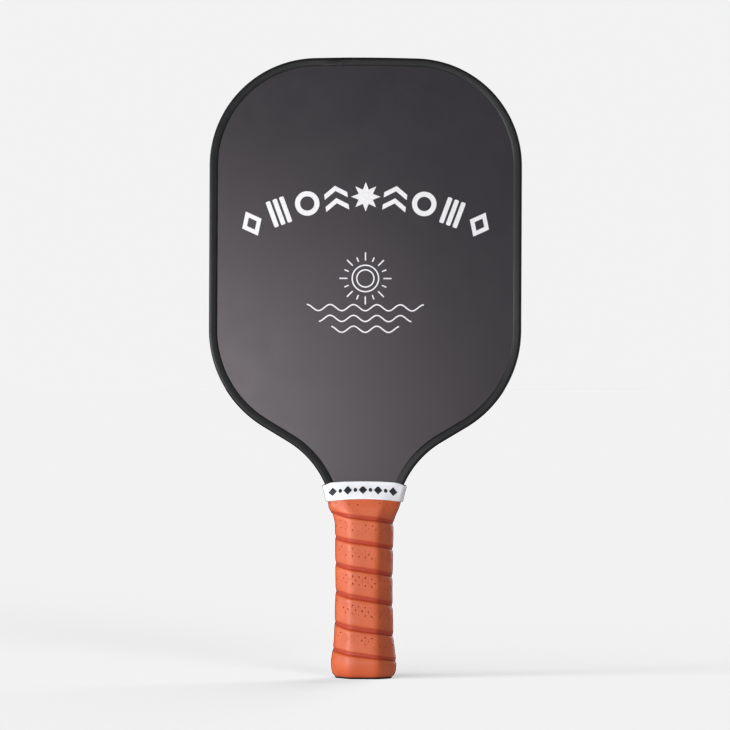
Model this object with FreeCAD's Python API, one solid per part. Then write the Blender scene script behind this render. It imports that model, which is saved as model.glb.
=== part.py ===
"""Pickleball paddle: honeycomb panel with a tongue, two-strip edge guard, handle shells, butt cap and grip.

Frame: millimetres. The origin is the centre of the butt end, +Z runs up the handle to the top of the head,
+X is across the head, and the printed front face looks along -Y.
"""

import FreeCAD
import Part

import math
import os

from FreeCAD import Vector

# Head outline, right half, from the crown down to the neck
PADDLE_LENGTH = 403.0
HEAD_WIDTH = 203.0
CROWN_RADIUS = 1200.0          # the top edge is almost straight
CORNER_RADIUS = 70.0
SHOULDER_RADIUS = 73.5
SHOULDER_CENTRE_Z = 226.0      # the straight sides end here
SHOULDER_TURN = 59.0           # degrees of arc from the straight side to the flank
FLANK_LENGTH = 18.7            # straight run between the shoulder and the neck arc
NECK_RADIUS = 60.7

# Panel layers, from the middle out
CORE_THICKNESS = 13.0
FILM_THICKNESS = 0.15
SHEET_THICKNESS = 0.6
CELL_ACROSS_FLATS = 8.0
CELL_WALL = 0.4
CORE_RIM = 1.0                 # solid margin between the cells and the core's edge
LEAST_CELL_AREA = 4.0          # smaller corners of cells stay solid
TONGUE_HALF_WIDTH = 11.0
TONGUE_END_Z = 8.0
TONGUE_CORNER = 3.0

# Edge guard: a U-shaped channel in two strips, over a strip of mounting tape
GUARD_LIP = 5.6                # from the outer edge to the lip's inner edge
GUARD_WEB = 1.8
GUARD_LIP_THICKNESS = 0.9
GUARD_ROUND = 2.2
EDGE_TAPE_THICKNESS = 0.3
SEAM_INNER = (-18.6, 397.4)    # the slanted joint between the strips, X and Z
SEAM_OUTER = (-8.8, 402.9)
SEAM_GAP = 0.25

# Neck: the guard strips and the panel's full width stop here, and the shells take over
NECK_STEP_Z = 111.0

# Handle, under the grip: height, half width, half depth, half width of the front flat, half side flat
HANDLE_LEVELS = [
    (1.4, 17.8, 13.3, 8.6, 4.1),
    (4.0, 18.9, 14.4, 9.2, 4.7),
    (10.0, 19.4, 14.9, 9.4, 4.9),
    (17.0, 18.4, 14.0, 8.9, 4.5),
    (25.0, 17.4, 13.1, 8.5, 4.2),
    (38.0, 17.0, 12.8, 8.4, 4.2),
    (57.0, 16.5, 12.5, 8.2, 4.2),
    (80.0, 16.8, 12.7, 8.4, 4.3),
    (101.0, 17.1, 12.8, 8.5, 4.2),
    (105.5, 18.4, 12.8, 9.0, 4.9),
    (NECK_STEP_Z, 21.5, 12.8, 11.0, 7.5),
    (121.5, 24.0, 9.9, 12.0, 8.0),
]
GRIP_THICKNESS = 1.8
NECK_GRIP_THICKNESS = 1.2      # the wrap is stretched thin where it climbs onto the neck
GRIP_TOP_Z = 121.5

# Handle shells
SHELL_HALF_TENON = 15.4        # above the neck step the shells lie between the guard's lips
POCKET_COUNT = 4
POCKET_HALF_WIDTH = 8.0
POCKET_DEPTH = 3.0
POCKET_LENGTH = 17.0
POCKET_PITCH = 20.0
POCKET_START_Z = 26.0
PEG_RADIUS = 1.5
PEG_LENGTH = 3.0
PEG_CLEARANCE = 0.1
PEG_X = 13.7
PEG_HEIGHTS = (32.0, 72.0)

# Butt cap: a cup over the shells' lower end, with a rim that the grip stops against
CAP_TOP_Z = 22.0
CAP_WALL = 1.5
CAP_FLOOR = 3.0
CAP_RIM_TOP_Z = 1.4
CAP_FOOT = (18.3, 13.8, 8.8, 4.3)      # octagon of the resting face
CAP_RIM = (19.5, 15.0, 9.3, 4.8)       # octagon at the rim's top
STAPLE_Z = 14.0
STAPLE_HALF_CROWN = 5.0
STAPLE_WIRE = 0.7
STAPLE_LEG = 5.0
STAPLE_SINK = 0.1              # the crown sits just below the cap's surface

# Collar: a rubber band arched over the top of the grip
TAPE_THICKNESS = 0.12
TAPE_BOTTOM_Z = 117.5
COLLAR_WALL = 1.15
COLLAR_CLEARANCE = 0.15
COLLAR_HALF_WIDTH = 27.6
COLLAR_TOP = (127.9, 3.3)      # height at the middle, and how far the sides sit below it
COLLAR_BOTTOM = (116.5, 2.0)
COLLAR_LEVELS = [              # inside of the band above the grip: same five sizes as the handle's levels
    (GRIP_TOP_Z, 25.5, 11.6, 12.8, 8.8),
    (125.0, 26.4, 8.7, 21.0, 6.8),
    (131.0, 27.9, 8.5, 23.0, 6.8),
]

FILM_START = CORE_THICKNESS / 2
SHEET_START = FILM_START + FILM_THICKNESS
PANEL_HALF = SHEET_START + SHEET_THICKNESS
GUARD_HALF = PANEL_HALF + GUARD_LIP_THICKNESS
PANEL_INSET = GUARD_WEB + EDGE_TAPE_THICKNESS


def point(x, z, y=0.0):
    return Vector(x, y, z)


def arc_edge(centre, radius, start_deg, end_deg):
    """Arc in the XZ plane; angles are measured from +X towards +Z."""
    def on_circle(degrees):
        turn = math.radians(degrees)
        return point(centre[0] + radius * math.cos(turn), centre[1] + radius * math.sin(turn))

    middle = (start_deg + end_deg) / 2
    return Part.Arc(on_circle(start_deg), on_circle(middle), on_circle(end_deg)).toShape()


def line_edge(start, end):
    return Part.LineSegment(start, end).toShape()


def outline_half(inset, bottom_z):
    """Edges of the head's right half, from the crown's middle down the neck to bottom_z."""
    crown_z = PADDLE_LENGTH - CROWN_RADIUS
    corner_x = HEAD_WIDTH / 2 - CORNER_RADIUS
    corner_z = crown_z + math.sqrt((CROWN_RADIUS - CORNER_RADIUS) ** 2 - corner_x ** 2)
    crown_turn = math.degrees(math.atan2(corner_z - crown_z, corner_x))
    side_x = HEAD_WIDTH / 2 - inset

    turn = math.radians(SHOULDER_TURN)
    outward = (math.cos(turn), -math.sin(turn))
    along = (-math.sin(turn), -math.cos(turn))
    shoulder = (HEAD_WIDTH / 2 - SHOULDER_RADIUS, SHOULDER_CENTRE_Z)
    flank_top = [shoulder[i] + (SHOULDER_RADIUS - inset) * outward[i] for i in (0, 1)]
    flank_end = [flank_top[i] + FLANK_LENGTH * along[i] for i in (0, 1)]
    neck_radius = NECK_RADIUS + inset
    neck = [flank_end[i] + neck_radius * outward[i] for i in (0, 1)]
    neck_end = 180.0 - math.degrees(math.asin((bottom_z - neck[1]) / neck_radius))

    return [
        arc_edge((0, crown_z), CROWN_RADIUS - inset, 90.0, crown_turn),
        arc_edge((corner_x, corner_z), CORNER_RADIUS - inset, crown_turn, 0.0),
        line_edge(point(side_x, corner_z), point(side_x, SHOULDER_CENTRE_Z)),
        arc_edge(shoulder, SHOULDER_RADIUS - inset, 0.0, -SHOULDER_TURN),
        line_edge(point(*flank_top), point(*flank_end)),
        arc_edge(neck, neck_radius, 180.0 - SHOULDER_TURN, neck_end),
    ]


def mirrored(edges):
    return [edge.mirror(Vector(0, 0, 0), Vector(1, 0, 0)) for edge in edges]


def closed_face(edges):
    return Part.Face(Part.Wire(Part.__sortEdges__(edges)))


def lowest_point(edge):
    return min((vertex.Point for vertex in edge.Vertexes), key=lambda place: place.z)


def head_face(inset, bottom_z):
    """Head and neck, closed straight across at bottom_z."""
    half = outline_half(inset, bottom_z)
    corner = lowest_point(half[-1])
    closing = line_edge(corner, point(-corner.x, corner.z))
    return closed_face(half + mirrored(half) + [closing])


def panel_face(inset=PANEL_INSET):
    """Head, neck and tongue of the panel's layers, with rounded inner corners at the tongue's root."""
    half = outline_half(inset, NECK_STEP_Z)
    shoulder = lowest_point(half[-1])
    spread = inset - PANEL_INSET
    side = TONGUE_HALF_WIDTH - spread
    bottom = TONGUE_END_Z + spread
    root = (side + TONGUE_CORNER, NECK_STEP_Z - TONGUE_CORNER)
    half += [
        line_edge(shoulder, point(root[0], NECK_STEP_Z)),
        arc_edge(root, TONGUE_CORNER, 90.0, 180.0),
        line_edge(point(side, root[1]), point(side, bottom)),
    ]
    return closed_face(half + mirrored(half) + [line_edge(point(side, bottom), point(-side, bottom))])


def layer(face, start_y, end_y):
    """Extrude a face of the XZ plane between two depths."""
    placed = face.copy()
    placed.translate(Vector(0, start_y, 0))
    return placed.extrude(Vector(0, end_y - start_y, 0))


def octagon(z, half_width, half_depth, front_flat, side_flat):
    corners = [
        (half_width, side_flat), (front_flat, half_depth), (-front_flat, half_depth), (-half_width, side_flat),
        (-half_width, -side_flat), (-front_flat, -half_depth), (front_flat, -half_depth), (half_width, -side_flat),
    ]
    return Part.makePolygon([Vector(x, y, z) for x, y in corners + corners[:1]])


def grown(level, thickness):
    """A level's octagon with every side moved out by a thickness."""
    z, half_width, half_depth, front_flat, side_flat = level
    slip = thickness * math.tan(math.radians(22.5))
    return (z, half_width + thickness, half_depth + thickness, front_flat + slip, side_flat + slip)


def tower(levels):
    return Part.makeLoft([octagon(*level) for level in levels], True, True)


def slab(bottom_z, top_z, half_x=200.0, half_y=100.0):
    return Part.makeBox(2 * half_x, 2 * half_y, top_z - bottom_z, Vector(-half_x, -half_y, bottom_z))


def grip_outside():
    """The handle's levels grown by the grip, thinner on the neck."""
    return [
        grown(level, GRIP_THICKNESS if level[0] < NECK_STEP_Z else NECK_GRIP_THICKNESS)
        for level in HANDLE_LEVELS
    ]


def honeycomb_core():
    """Hexagonal tubes side by side, open from face to face, and cut off by a thin rim at the panel's edge."""
    radius = (CELL_ACROSS_FLATS - CELL_WALL) / math.sqrt(3)
    row_pitch = CELL_ACROSS_FLATS * math.sqrt(3) / 2
    rows = int(PADDLE_LENGTH / row_pitch) + 1
    columns = int(HEAD_WIDTH / CELL_ACROSS_FLATS / 2) + 1
    corner_angles = [math.radians(30 + 60 * k) for k in range(6)]
    hexagons = []
    for row in range(rows):
        shift = CELL_ACROSS_FLATS / 2 if row % 2 else 0.0
        for column in range(-columns, columns + 1):
            x = column * CELL_ACROSS_FLATS + shift
            z = row * row_pitch
            corners = [point(x + radius * math.cos(a), z + radius * math.sin(a)) for a in corner_angles]
            hexagons.append(Part.Face(Part.makePolygon(corners + corners[:1])))
    field = panel_face(PANEL_INSET + CORE_RIM)
    cells = [cell for cell in field.common(Part.makeCompound(hexagons)).Faces if cell.Area > LEAST_CELL_AREA]
    walls = panel_face().cut(Part.makeCompound(cells)).Faces[0]
    return layer(walls, -CORE_THICKNESS / 2, CORE_THICKNESS / 2)


def panel_layer(start_y, end_y):
    return layer(panel_face(), start_y, end_y)


def guard_ring():
    """U-section all round the head: a rounded block less the panel with its tape, and less the window."""
    block = layer(head_face(0.0, NECK_STEP_Z), -GUARD_HALF, GUARD_HALF)
    rims = [
        edge for edge in block.Edges
        if abs(edge.CenterOfMass.y) > GUARD_HALF - 0.01 and edge.BoundBox.ZMax > NECK_STEP_Z + 0.01
    ]
    block = block.makeFillet(GUARD_ROUND, rims)
    channel = layer(head_face(GUARD_WEB, NECK_STEP_Z - 1), -PANEL_HALF, PANEL_HALF)
    window = layer(head_face(GUARD_LIP, NECK_STEP_Z - 1), -2 * GUARD_HALF, 2 * GUARD_HALF)
    return block.cut(channel).cut(window)


def seam_cutter(shift):
    """Everything on the left strip's side of the slanted joint, moved along X by shift."""
    run = Vector(SEAM_OUTER[0] - SEAM_INNER[0], 0, SEAM_OUTER[1] - SEAM_INNER[1])
    run.normalize()
    inner = point(*SEAM_INNER) - run * 6
    outer = point(*SEAM_OUTER) + run * 6
    corners = [
        point(-150, 50), point(0, 50), point(0, 300), inner, outer,
        point(outer.x, 450), point(-150, 450),
    ]
    face = Part.Face(Part.makePolygon(corners + corners[:1]))
    face.translate(Vector(shift, 0, 0))
    return layer(face, -50, 50)


def tape_ring():
    outer = layer(head_face(GUARD_WEB, NECK_STEP_Z), -PANEL_HALF, PANEL_HALF)
    inner = layer(head_face(PANEL_INSET, NECK_STEP_Z - 1), -2 * PANEL_HALF, 2 * PANEL_HALF)
    return outer.cut(inner)


def half_depth_at(height):
    """The cap's half depth at a height, straight between the levels above and below it."""
    for below, above in zip(HANDLE_LEVELS, HANDLE_LEVELS[1:]):
        if below[0] <= height <= above[0]:
            share = (height - below[0]) / (above[0] - below[0])
            return below[2] + share * (above[2] - below[2])


def staples():
    """Two wire staples, one through the cap's front wall and one through its back wall."""
    crown_y = half_depth_at(STAPLE_Z) - STAPLE_WIRE / 2 - STAPLE_SINK
    made = []
    for side in (-1, 1):
        crown = Part.makeBox(2 * STAPLE_HALF_CROWN, STAPLE_WIRE, STAPLE_WIRE)
        crown.translate(Vector(-STAPLE_HALF_CROWN, -STAPLE_WIRE / 2, STAPLE_Z - STAPLE_WIRE / 2))
        piece = crown
        for leg_x in (-STAPLE_HALF_CROWN, STAPLE_HALF_CROWN - STAPLE_WIRE):
            leg = Part.makeBox(STAPLE_WIRE, STAPLE_LEG, STAPLE_WIRE)
            leg.translate(Vector(leg_x, -STAPLE_LEG, STAPLE_Z - STAPLE_WIRE / 2))
            piece = piece.fuse(leg)
        piece = piece.removeSplitter()
        piece.translate(Vector(0, crown_y, 0))
        if side < 0:
            piece.rotate(Vector(0, 0, 0), Vector(0, 0, 1), 180)
        made.append(piece)
    return Part.makeCompound(made)


def shell_body():
    """Everything inside the grip that the two shells share: the stub in the cap, the handle and the tenons."""
    handle = tower(HANDLE_LEVELS)
    stub = tower([grown(level, -CAP_WALL) for level in HANDLE_LEVELS]).common(slab(CAP_FLOOR, CAP_TOP_Z))
    column = handle.common(slab(CAP_TOP_Z, NECK_STEP_Z))
    tenons = handle.common(slab(NECK_STEP_Z, GRIP_TOP_Z, SHELL_HALF_TENON))
    return stub.fuse(column).fuse(tenons).removeSplitter()


def handle_shell(side, fasteners):
    """One moulded half, side -1 in front and +1 behind, hollowed by pockets between cross ribs."""
    half_space = Part.makeBox(200, 100, 200, Vector(-100, 0 if side > 0 else -100, 0))
    tongue = layer(panel_face(), -PANEL_HALF, PANEL_HALF)
    shell = shell_body().common(half_space).cut(tongue)
    for k in range(POCKET_COUNT):
        pocket = Part.makeBox(2 * POCKET_HALF_WIDTH, POCKET_DEPTH, POCKET_LENGTH)
        near_y = PANEL_HALF if side > 0 else -PANEL_HALF - POCKET_DEPTH
        pocket.translate(Vector(-POCKET_HALF_WIDTH, near_y, POCKET_START_Z + k * POCKET_PITCH))
        shell = shell.cut(pocket)
    grow = 0.0 if side > 0 else PEG_CLEARANCE
    for x in (-PEG_X, PEG_X):
        for z in PEG_HEIGHTS:
            peg = Part.makeCylinder(PEG_RADIUS + grow, PEG_LENGTH + grow, Vector(x, 0, z), Vector(0, -1, 0))
            shell = shell.fuse(peg) if side > 0 else shell.cut(peg)
    return shell.cut(fasteners).removeSplitter()


def butt_cap(fasteners):
    """Moulded cup, flared like the handle, with a rim at its foot."""
    cup = tower(HANDLE_LEVELS).common(slab(CAP_RIM_TOP_Z, CAP_TOP_Z))
    rim = tower([(0.0,) + CAP_FOOT, (CAP_RIM_TOP_Z,) + CAP_RIM])
    socket = tower([grown(level, -CAP_WALL) for level in HANDLE_LEVELS]).common(slab(CAP_FLOOR, CAP_TOP_Z))
    return cup.fuse(rim).cut(socket).cut(fasteners)


def grip_tape():
    """Sleeve of the finished wrap, from the cap's rim to under the collar."""
    return tower(grip_outside()).cut(tower(HANDLE_LEVELS))


def finishing_tape():
    levels = [grown(level, TAPE_THICKNESS) for level in grip_outside()]
    band = tower(levels).cut(tower(grip_outside()))
    return band.common(slab(TAPE_BOTTOM_Z, GRIP_TOP_Z))


def arch_edge(height, drop, half_x, reach):
    """Arc in the XZ plane, highest at the middle and lower by drop at half_x, drawn out to reach."""
    radius = (half_x ** 2 + drop ** 2) / (2 * drop)
    end_z = height - radius + math.sqrt(radius ** 2 - reach ** 2)
    return Part.Arc(point(-reach, end_z), point(0, height), point(reach, end_z)).toShape()


def rubber_collar():
    """Band that is wider and flatter at its top, with both rims arched."""
    below = [grown(level, COLLAR_CLEARANCE) for level in grip_outside()[-2:-1]]
    inside = below + COLLAR_LEVELS
    outside = [grown(level, COLLAR_WALL) for level in inside]
    reach = 35.0
    top = arch_edge(COLLAR_TOP[0], COLLAR_TOP[1], COLLAR_HALF_WIDTH, reach)
    bottom = arch_edge(COLLAR_BOTTOM[0], COLLAR_BOTTOM[1], COLLAR_HALF_WIDTH, reach)
    sides = [
        line_edge(point(x, bottom.BoundBox.ZMin), point(x, top.BoundBox.ZMin)) for x in (-reach, reach)
    ]
    profile = layer(closed_face([top, bottom] + sides), -50, 50)
    return tower(outside).cut(tower(inside)).common(profile)


def main():
    os.makedirs("parts", exist_ok=True)
    fasteners = staples()
    ring = guard_ring()
    tape = tape_ring()
    nodes = {
        "honeycomb_core": honeycomb_core(),
        "front_bond_film": panel_layer(-SHEET_START, -FILM_START),
        "back_bond_film": panel_layer(FILM_START, SHEET_START),
        "front_face_sheet": panel_layer(-PANEL_HALF, -SHEET_START),
        "back_face_sheet": panel_layer(SHEET_START, PANEL_HALF),
        "edge_tape_left": tape.common(seam_cutter(0.0)),
        "edge_tape_right": tape.cut(seam_cutter(SEAM_GAP)),
        "edge_guard_left": ring.common(seam_cutter(0.0)),
        "edge_guard_right": ring.cut(seam_cutter(SEAM_GAP)),
        "handle_shell_front": handle_shell(-1, fasteners),
        "handle_shell_back": handle_shell(1, fasteners),
        "butt_cap": butt_cap(fasteners),
        "butt_cap_staples": fasteners,
        "grip_tape": grip_tape(),
        "finishing_tape": finishing_tape(),
        "rubber_collar": rubber_collar(),
    }
    for name, shape in nodes.items():
        shape.exportStep(f"parts/{name}.step")
        box = shape.optimalBoundingBox()
        print(
            f"{name:20s} solids {len(shape.Solids)} valid {shape.isValid()} volume {shape.Volume:10.1f}"
            f"  X {box.XMin:8.2f} {box.XMax:8.2f}  Y {box.YMin:7.2f} {box.YMax:7.2f}"
            f"  Z {box.ZMin:7.2f} {box.ZMax:7.2f}"
        )


main()
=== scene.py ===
"""The looks of a pickleball paddle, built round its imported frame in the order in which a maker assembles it.

Metres, in the frame's own axes: +Z from the butt to the top of the head, +X across the head, and the
printed front face looks along -Y. The paddle stands on its butt end.
"""

import math

import bmesh
import bpy
from mathutils import Matrix, Vector, noise


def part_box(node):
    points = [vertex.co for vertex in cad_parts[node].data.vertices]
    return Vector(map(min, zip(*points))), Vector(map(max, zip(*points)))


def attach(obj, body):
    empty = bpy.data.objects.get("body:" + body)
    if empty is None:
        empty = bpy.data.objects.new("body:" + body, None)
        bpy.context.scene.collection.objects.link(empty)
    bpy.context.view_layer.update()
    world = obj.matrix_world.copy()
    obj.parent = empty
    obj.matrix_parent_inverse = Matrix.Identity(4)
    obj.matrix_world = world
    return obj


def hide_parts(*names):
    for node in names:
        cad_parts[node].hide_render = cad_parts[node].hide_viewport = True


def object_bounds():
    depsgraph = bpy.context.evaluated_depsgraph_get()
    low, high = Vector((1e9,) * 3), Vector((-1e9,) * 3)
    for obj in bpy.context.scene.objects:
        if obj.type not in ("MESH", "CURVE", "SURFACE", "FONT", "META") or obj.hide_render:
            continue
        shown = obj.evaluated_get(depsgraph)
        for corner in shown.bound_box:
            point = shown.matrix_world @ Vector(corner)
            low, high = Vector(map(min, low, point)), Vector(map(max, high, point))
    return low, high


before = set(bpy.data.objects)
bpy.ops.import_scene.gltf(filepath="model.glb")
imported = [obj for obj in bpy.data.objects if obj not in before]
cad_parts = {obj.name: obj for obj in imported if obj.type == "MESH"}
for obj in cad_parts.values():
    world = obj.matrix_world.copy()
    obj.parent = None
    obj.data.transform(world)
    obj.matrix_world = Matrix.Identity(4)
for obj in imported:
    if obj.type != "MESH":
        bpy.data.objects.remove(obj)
cad_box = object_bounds()
MM = 0.001


# ---- Studio --------------------------------------------------------------------------------------
# A pale floor that runs out to the horizon, under a pale sky. Two soft lights stand low on the left, in
# front of the paddle. A weak one hangs high on the right, and one behind it shines on its edge and back.

low, high = cad_box
middle_z = (low.z + high.z) / 2
CAMERA_DISTANCE = 2.64
CAMERA_LIFT = 0.0018           # above the paddle's middle
CAMERA_ROLL = math.radians(-0.26)
CAMERA_LENS = 200
SENSOR_WIDTH = 36
PALE = 0.89                    # what the camera sees of the sky
ROOM = 0.11                    # how much of it reaches the paddle


def deselect_all():
    if bpy.context.object and bpy.context.object.mode != "OBJECT":
        bpy.ops.object.mode_set(mode="OBJECT")
    bpy.ops.object.select_all(action="DESELECT")


def aim(thing, target):
    thing.rotation_euler = (Vector(target) - thing.location).to_track_quat("-Z", "Y").to_euler()


def soft_light(name, place, target, width, height, power, colour=(1.0, 1.0, 1.0)):
    bpy.ops.object.light_add(type="AREA", location=place)
    lamp = bpy.context.object
    lamp.name = name
    lamp.data.shape = "RECTANGLE"
    lamp.data.size = width
    lamp.data.size_y = height
    lamp.data.energy = power
    lamp.data.color = colour
    lamp.visible_camera = False
    aim(lamp, target)
    return lamp


deselect_all()
bpy.ops.object.camera_add(
    location=(0, -CAMERA_DISTANCE, middle_z + CAMERA_LIFT), rotation=(math.pi / 2, CAMERA_ROLL, 0)
)
camera = bpy.context.object
camera.data.lens = CAMERA_LENS
camera.data.sensor_width = SENSOR_WIDTH
bpy.context.scene.camera = camera
bpy.context.scene.view_settings.view_transform = "Standard"

sky = bpy.data.worlds.new("studio_sky")
bpy.context.scene.world = sky
sky.use_nodes = True
sky_nodes = sky.node_tree.nodes
sky_links = sky.node_tree.links
seen = sky_nodes["Background"]
seen.inputs["Color"].default_value = (PALE, PALE, PALE, 1)
cast = sky_nodes.new("ShaderNodeBackground")
cast.inputs["Color"].default_value = (ROOM, ROOM, ROOM, 1)
ray = sky_nodes.new("ShaderNodeLightPath")
blend = sky_nodes.new("ShaderNodeMixShader")
sky_links.new(ray.outputs["Is Camera Ray"], blend.inputs["Fac"])
sky_links.new(cast.outputs["Background"], blend.inputs[1])
sky_links.new(seen.outputs["Background"], blend.inputs[2])
sky_links.new(blend.outputs["Shader"], sky_nodes["World Output"].inputs["Surface"])

# each light: its place, what it is aimed at, its width and height, and its power in watts
soft_light("key_light", (-0.58, -0.68, 0.135), (0, 0, 0.2), 1.4, 0.25, 10.2)
soft_light("side_light", (-1.1, -0.42, 0.2), (0, 0, 0.1), 0.4, 0.4, 4.5)
soft_light("top_light", (0.75, -1.5, 1.0), (0, 0, 0.25), 0.7, 0.5, 3.0)
soft_light("back_light", (0.8, 1.1, 0.4), (0, 0, 0.2), 1.3, 0.7, 11.0)

FLOOR_SIZE = 60
FLOOR_Z = -0.0002              # just under the butt cap, so that the two don't share a plane
bpy.ops.mesh.primitive_plane_add(size=FLOOR_SIZE, location=(0, 0, FLOOR_Z))
floor = bpy.context.object
floor.name = "floor"
paper = bpy.data.materials.new("pale_paper")
paper.use_nodes = True
paper_nodes = paper.node_tree.nodes
paper_shader = paper_nodes["Principled BSDF"]
paper_shader.inputs["Base Color"].default_value = (PALE, PALE, PALE, 1)
paper_shader.inputs["Roughness"].default_value = 1.0
paper_shader.inputs["Specular IOR Level"].default_value = 0.0
floor.data.materials.append(paper)
floor.is_shadow_catcher = True


# ---- Honeycomb core ------------------------------------------------------------------------------
# Extruded polypropylene tubes welded side by side and sliced to 13 mm, milky and a little uneven in colour.
# It is cut to the head's shape with a tongue that runs down inside the handle.

def new_material(name, colour, roughness, metallic=0.0):
    """A Principled material; returns it with its shader."""
    made = bpy.data.materials.new(name)
    made.use_nodes = True
    shader = made.node_tree.nodes["Principled BSDF"]
    shader.inputs["Base Color"].default_value = (*colour, 1)
    shader.inputs["Roughness"].default_value = roughness
    shader.inputs["Metallic"].default_value = metallic
    return made, shader


def object_noise(made, scale, detail=4.0, stretch=(1, 1, 1)):
    """Noise laid out on the piece's own coordinates; returns its value."""
    nodes = made.node_tree.nodes
    links = made.node_tree.links
    place = nodes.new("ShaderNodeTexCoord")
    mapping = nodes.new("ShaderNodeMapping")
    mapping.inputs["Scale"].default_value = stretch
    cloud = nodes.new("ShaderNodeTexNoise")
    cloud.inputs["Scale"].default_value = scale
    cloud.inputs["Detail"].default_value = detail
    links.new(place.outputs["Object"], mapping.inputs["Vector"])
    links.new(mapping.outputs["Vector"], cloud.inputs["Vector"])
    return cloud.outputs["Fac"]


def colour_steps(made, value, steps):
    """A colour ramp over a value; steps are (place, colour)."""
    ramp = made.node_tree.nodes.new("ShaderNodeValToRGB")
    while len(ramp.color_ramp.elements) < len(steps):
        ramp.color_ramp.elements.new(0.5)
    for element, (place, colour) in zip(ramp.color_ramp.elements, steps):
        element.position = place
        element.color = (*colour, 1)
    made.node_tree.links.new(value, ramp.inputs["Fac"])
    return ramp.outputs["Color"]


def value_range(made, value, low_out, high_out, low_in=0.0, high_in=1.0):
    spread = made.node_tree.nodes.new("ShaderNodeMapRange")
    spread.inputs["From Min"].default_value = low_in
    spread.inputs["From Max"].default_value = high_in
    spread.inputs["To Min"].default_value = low_out
    spread.inputs["To Max"].default_value = high_out
    made.node_tree.links.new(value, spread.inputs["Value"])
    return spread.outputs["Result"]


def add_bump(made, shader, value, strength, distance, under=None):
    """Raises the surface by a value; under is the normal of a coarser bump below this one."""
    bump = made.node_tree.nodes.new("ShaderNodeBump")
    bump.inputs["Strength"].default_value = strength
    bump.inputs["Distance"].default_value = distance
    made.node_tree.links.new(value, bump.inputs["Height"])
    if under is not None:
        made.node_tree.links.new(under, bump.inputs["Normal"])
    made.node_tree.links.new(bump.outputs["Normal"], shader.inputs["Normal"])
    return bump.outputs["Normal"]


def cover_node(name, made):
    """Gives a CAD node its material."""
    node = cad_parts[name]
    node.data.materials.clear()
    node.data.materials.append(made)


milky, milky_shader = new_material("milky_polypropylene", (0.72, 0.73, 0.72), 0.55)
milky_clouds = object_noise(milky, 60)
milky.node_tree.links.new(
    colour_steps(milky, milky_clouds, [(0.35, (0.66, 0.67, 0.66)), (0.65, (0.77, 0.78, 0.77))]),
    milky_shader.inputs["Base Color"],
)
add_bump(milky, milky_shader, object_noise(milky, 900, 2, (1, 0.1, 1)), 0.3, 0.00005)
cover_node("honeycomb_core", milky)


# ---- Adhesive films ------------------------------------------------------------------------------
# A film of thermosetting adhesive lies on each side of the core. It cures to a thin amber layer with small
# puddles and bubbles.

amber, amber_shader = new_material("cured_film", (0.55, 0.48, 0.30), 0.35)
amber.node_tree.links.new(
    colour_steps(amber, object_noise(amber, 220), [(0.4, (0.50, 0.42, 0.25)), (0.6, (0.60, 0.53, 0.35))]),
    amber_shader.inputs["Base Color"],
)
amber_shader.inputs["Coat Weight"].default_value = 0.2
add_bump(amber, amber_shader, object_noise(amber, 500), 0.2, 0.00004)
cover_node("front_bond_film", amber)
cover_node("back_bond_film", amber)


# ---- Face sheets ---------------------------------------------------------------------------------
# Two fibre laminate sheets, sprayed charcoal with a fine grit for spin and a satin varnish over it. The
# spray leaves faint clouds and a light orange peel.

charcoal, charcoal_shader = new_material("charcoal_satin", (0.020, 0.020, 0.024), 0.32)
charcoal_clouds = object_noise(charcoal, 14, 6)
charcoal.node_tree.links.new(
    colour_steps(charcoal, charcoal_clouds, [(0.3, (0.018, 0.018, 0.0215)), (0.7, (0.022, 0.0215, 0.026))]),
    charcoal_shader.inputs["Base Color"],
)
charcoal.node_tree.links.new(
    value_range(charcoal, object_noise(charcoal, 90, 5), 0.28, 0.32, 0.3, 0.7),
    charcoal_shader.inputs["Roughness"],
)
charcoal_shader.inputs["Specular IOR Level"].default_value = 0.5
charcoal_shader.inputs["Specular Tint"].default_value = (1.0, 0.88, 0.92, 1)
peel = add_bump(charcoal, charcoal_shader, object_noise(charcoal, 260, 2), 0.06, 0.0003)
add_bump(charcoal, charcoal_shader, object_noise(charcoal, 2600, 3), 0.10, 0.00006, peel)
cover_node("front_face_sheet", charcoal)
cover_node("back_face_sheet", charcoal)


# ---- Face print ----------------------------------------------------------------------------------
# White ink, screen-printed on both face sheets before the guard goes on: an arched row of bold shapes, and
# a thin-line sun over water below it. The ink stands a few hundredths of a millimetre proud.

INK_THICKNESS = 0.04 * MM
FACE_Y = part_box("front_face_sheet")[0].y
ROW_HEIGHT = 17.5              # millimetres, as are the print's other sizes
ROW_RADIUS = 162.7             # of the arch, through the middle of the row
ROW_CENTRE_Z = 149.8
ROW_STEP_DEGREES = 6.75
OPTICAL_TRIM = 0.8             # the ring is a little lower than the row, and the star a little higher
LINE_WIDTH = 0.85


def edit(piece):
    """Edit mode on one piece, with nothing selected."""
    deselect_all()
    bpy.context.view_layer.objects.active = piece
    piece.select_set(True)
    bpy.ops.object.mode_set(mode="EDIT")
    bpy.ops.mesh.select_mode(type="FACE")
    bpy.ops.mesh.select_all(action="DESELECT")


def leave_edit():
    bpy.ops.object.mode_set(mode="OBJECT")


def apply_modifier(piece, kind, **settings):
    modifier = piece.modifiers.new(kind.lower(), kind)
    for name, value in settings.items():
        setattr(modifier, name, value)
    deselect_all()
    bpy.context.view_layer.objects.active = piece
    piece.select_set(True)
    bpy.ops.object.modifier_apply(modifier=modifier.name)


def flat_disc(sides, radius, stretch=(1, 1, 1)):
    """A filled regular polygon lying in the XY plane; millimetres."""
    deselect_all()
    bpy.ops.mesh.primitive_circle_add(vertices=sides, radius=radius * MM, fill_type="NGON")
    piece = bpy.context.object
    piece.scale = stretch
    bpy.ops.object.transform_apply(location=False, rotation=False, scale=True)
    return piece


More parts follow.
